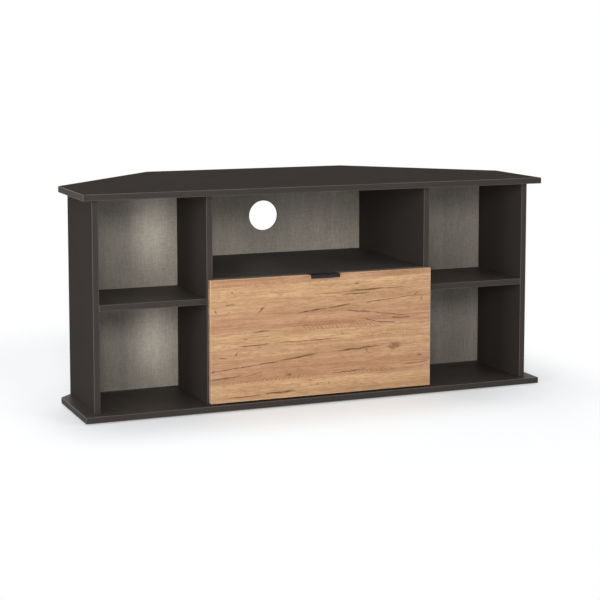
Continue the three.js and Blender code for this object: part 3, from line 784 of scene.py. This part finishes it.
        # Knots: the middle in metres, the half length and half height in mm, and the lean
        knots = [((0.013, 0.077), 2.2, 6.5, -0.3), ((0.558, 0.077), 2.2, 6.5, -0.3)]
        knots += [((0.130, 0.077), 4.5, 10.0, 0.9), ((0.408, 0.197), 2.2, 5.5, -0.3)]
        knots += [((0.065, 0.182), 2.4, 5.0, 0.3), ((0.343, 0.151), 3.4, 2.4, 0.0)]
        knots += [((0.055, 0.032), 3.0, 2.2, 0.0), ((0.088, 0.147), 6.0, 2.6, 0.0)]
        knots += [((0.307, 0.271), 2.6, 2.4, 0.0), ((0.277, 0.271), 2.8, 2.4, 0.0)]
        knots += [((0.245, 0.123), 9.0, 2.4, 0.0), ((0.553, 0.219), 7.0, 2.6, 0.0)]
        knots += [((0.484, 0.190), 17.0, 10.0, 0.4), ((0.200, 0.242), 9.0, 3.5, 0.3)]
        knots += [((0.125, 0.170), 5.0, 2.0, 0.0), ((0.005, 0.221), 8.0, 3.0, 0.0)]
        knots += [((0.543, 0.062), 3.5, 4.5, 1.0), ((0.380, 0.028), 6.0, 2.6, 0.4)]
        flaw = made.between(made.noise(made.scaled(made.place, 110, 0, 170), 1.0, 3, 0.7), 0.32, 0.56)
        spots = 0.0
        for (knot_x, knot_z), length, tall, lean in knots:
            across = (along - knot_x + (down - knot_z) * lean) * (1000 / length)
            upward = (down - knot_z) * (1000 / tall)
            spot = (1 - made.between(across * across + upward * upward, 0.0, 1.6)) * flaw
            spots = made.maths("MAXIMUM", spots, spot)
        colour = made.mixed(spots * 0.8, colour, paint(116, 78, 50))
    # A share of pale cream over the colour: a painted highlight, which the arrises take
    colour = made.mixed(painted_highlight, colour, paint(236, 208, 172))
    made.give({"Base Color": colour, "Roughness": 0.62 - grain * 0.12})
    made.bump(1 - (grain * 0.4 + pores * 0.4 + dark), 0.0001, 0.6)
    return made.material


oak_face = oak("oak_face", True, 0.0)
oak_band = oak("oak_band", False, 0.0)
# The oak arrises are painted lighter: a painted highlight
oak_arris_highlight = oak("oak_arris_highlight", False, 0.6)
oak_finishes = [oak_face, oak_band, oak_arris_highlight, bare_chipboard]
oak_round = 0.0009
banded_board("drawer_front", "drawer", oak_finishes, oak_round)


# The handle: one strip of 1.2 mm steel, bent twice and powder-coated matt black.
# Its flange is screwed to the rear face of the front, and its lip hangs before the oak.
def powder_coat(name):
    made = Finish(name, {"Specular IOR Level": 0.3})
    peel = made.noise(made.place, 1900, 2)
    dust = made.noise(made.place, 60, 3, 0.6)
    made.give({"Base Color": made.mixed(dust, paint(16, 18, 22), paint(24, 26, 31))})
    made.give({"Roughness": 0.4 + peel * 0.12})
    made.bump(peel, 0.00005, 0.5)
    return made.material


black_coat = powder_coat("black_coat")
handle_low, handle_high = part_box("drawer_handle")
handle_sheet = 0.0012
handle_bend = 0.0011
handle_edge = 0.0002
lip_height = 0.0093
plate_level = handle_high.z - handle_sheet / 2
flange_depth = handle_high.y - handle_sheet / 2
lip_depth = handle_low.y + handle_sheet / 2
handle_path = [(flange_depth, handle_low.z), (flange_depth, plate_level)]
handle_path += [(lip_depth, plate_level), (lip_depth, handle_high.z - lip_height)]
outline = bent_outline(handle_path, handle_sheet, handle_bend)


def handle_spread(point):
    return (handle_low.x, point.x, point.y), (handle_high.x, point.x, point.y)


rolled_sheet(
    "bent_handle", outline, handle_spread, black_coat, "drawer", "drawer_handle", handle_edge
)


# The fittings: 7 x 50 mm screws through the base, cams in the uprights and the middle shelf, and shelf pins.
# The screws are bright zinc, the cams and pins black zinc, and the six nailed glides polyethylene.
# Flat graphite caps cover the cams of the uprights, and four more cams hold the drawer's sides to its front.
def moulded(name, light, dark, roughness, metallic):
    made = Finish(name, {"Metallic": metallic, "Specular IOR Level": 0.4})
    grain = made.noise(made.place, 700, 3, 0.6)
    made.give({"Base Color": made.mixed(grain, dark, light), "Roughness": roughness + grain * 0.15})
    made.bump(grain, 0.00005, 0.5)
    return made.material


black_zinc = moulded("black_zinc", paint(66, 66, 68), paint(44, 44, 46), 0.42, 0.5)
glide_plastic = moulded("glide_plastic", paint(34, 34, 35), paint(24, 24, 25), 0.5, 0.0)
finish_of = {"screw_": bright_zinc, "handle_screw_": bright_zinc, "cam_": black_zinc}
finish_of.update({"shelf_pin_": black_zinc, "glide_": glide_plastic})
for name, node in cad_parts.items():
    for beginning, finish in finish_of.items():
        if name.startswith(beginning):
            node.data.materials.clear()
            node.data.materials.append(finish)

cam_radius = 0.0075
cap_radius, cap_height = 0.0086, 0.0003
cap_places = []
# Each upright, and the way its cams face
cam_faces = {"side_panel_left": 1, "partition_left": 1, "partition_right": 1, "side_panel_right": -1}
for board, way in cam_faces.items():
    low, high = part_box(board)
    face = high.x if way > 0 else low.x
    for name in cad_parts:
        cam_low, cam_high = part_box(name)
        if name.startswith("cam_") and low.x < (cam_low.x + cam_high.x) / 2 < high.x:
            cap_places.append(((face, (cam_low.y + cam_high.y) / 2, cam_low.z + cam_radius), (way, 0, 0)))
heads_at("cam_caps", "root", graphite_face, cap_places, cap_radius, cap_height)

drawer_side_face = 0.2548
drawer_cam_depth = front_high.y + 0.024
drawer_cam_levels = (0.08, 0.2)
drawer_cam_height, drawer_cam_cross = 0.0006, 0.0016
drawer_cams = []
for way in (-1, 1):
    for z in drawer_cam_levels:
        drawer_cams.append(((way * drawer_side_face, drawer_cam_depth, z), (-way, 0, 0)))
heads_at(
    "drawer_cams", "drawer", black_zinc, drawer_cams,
    cam_radius, drawer_cam_height, drawer_cam_cross, seed=4
)
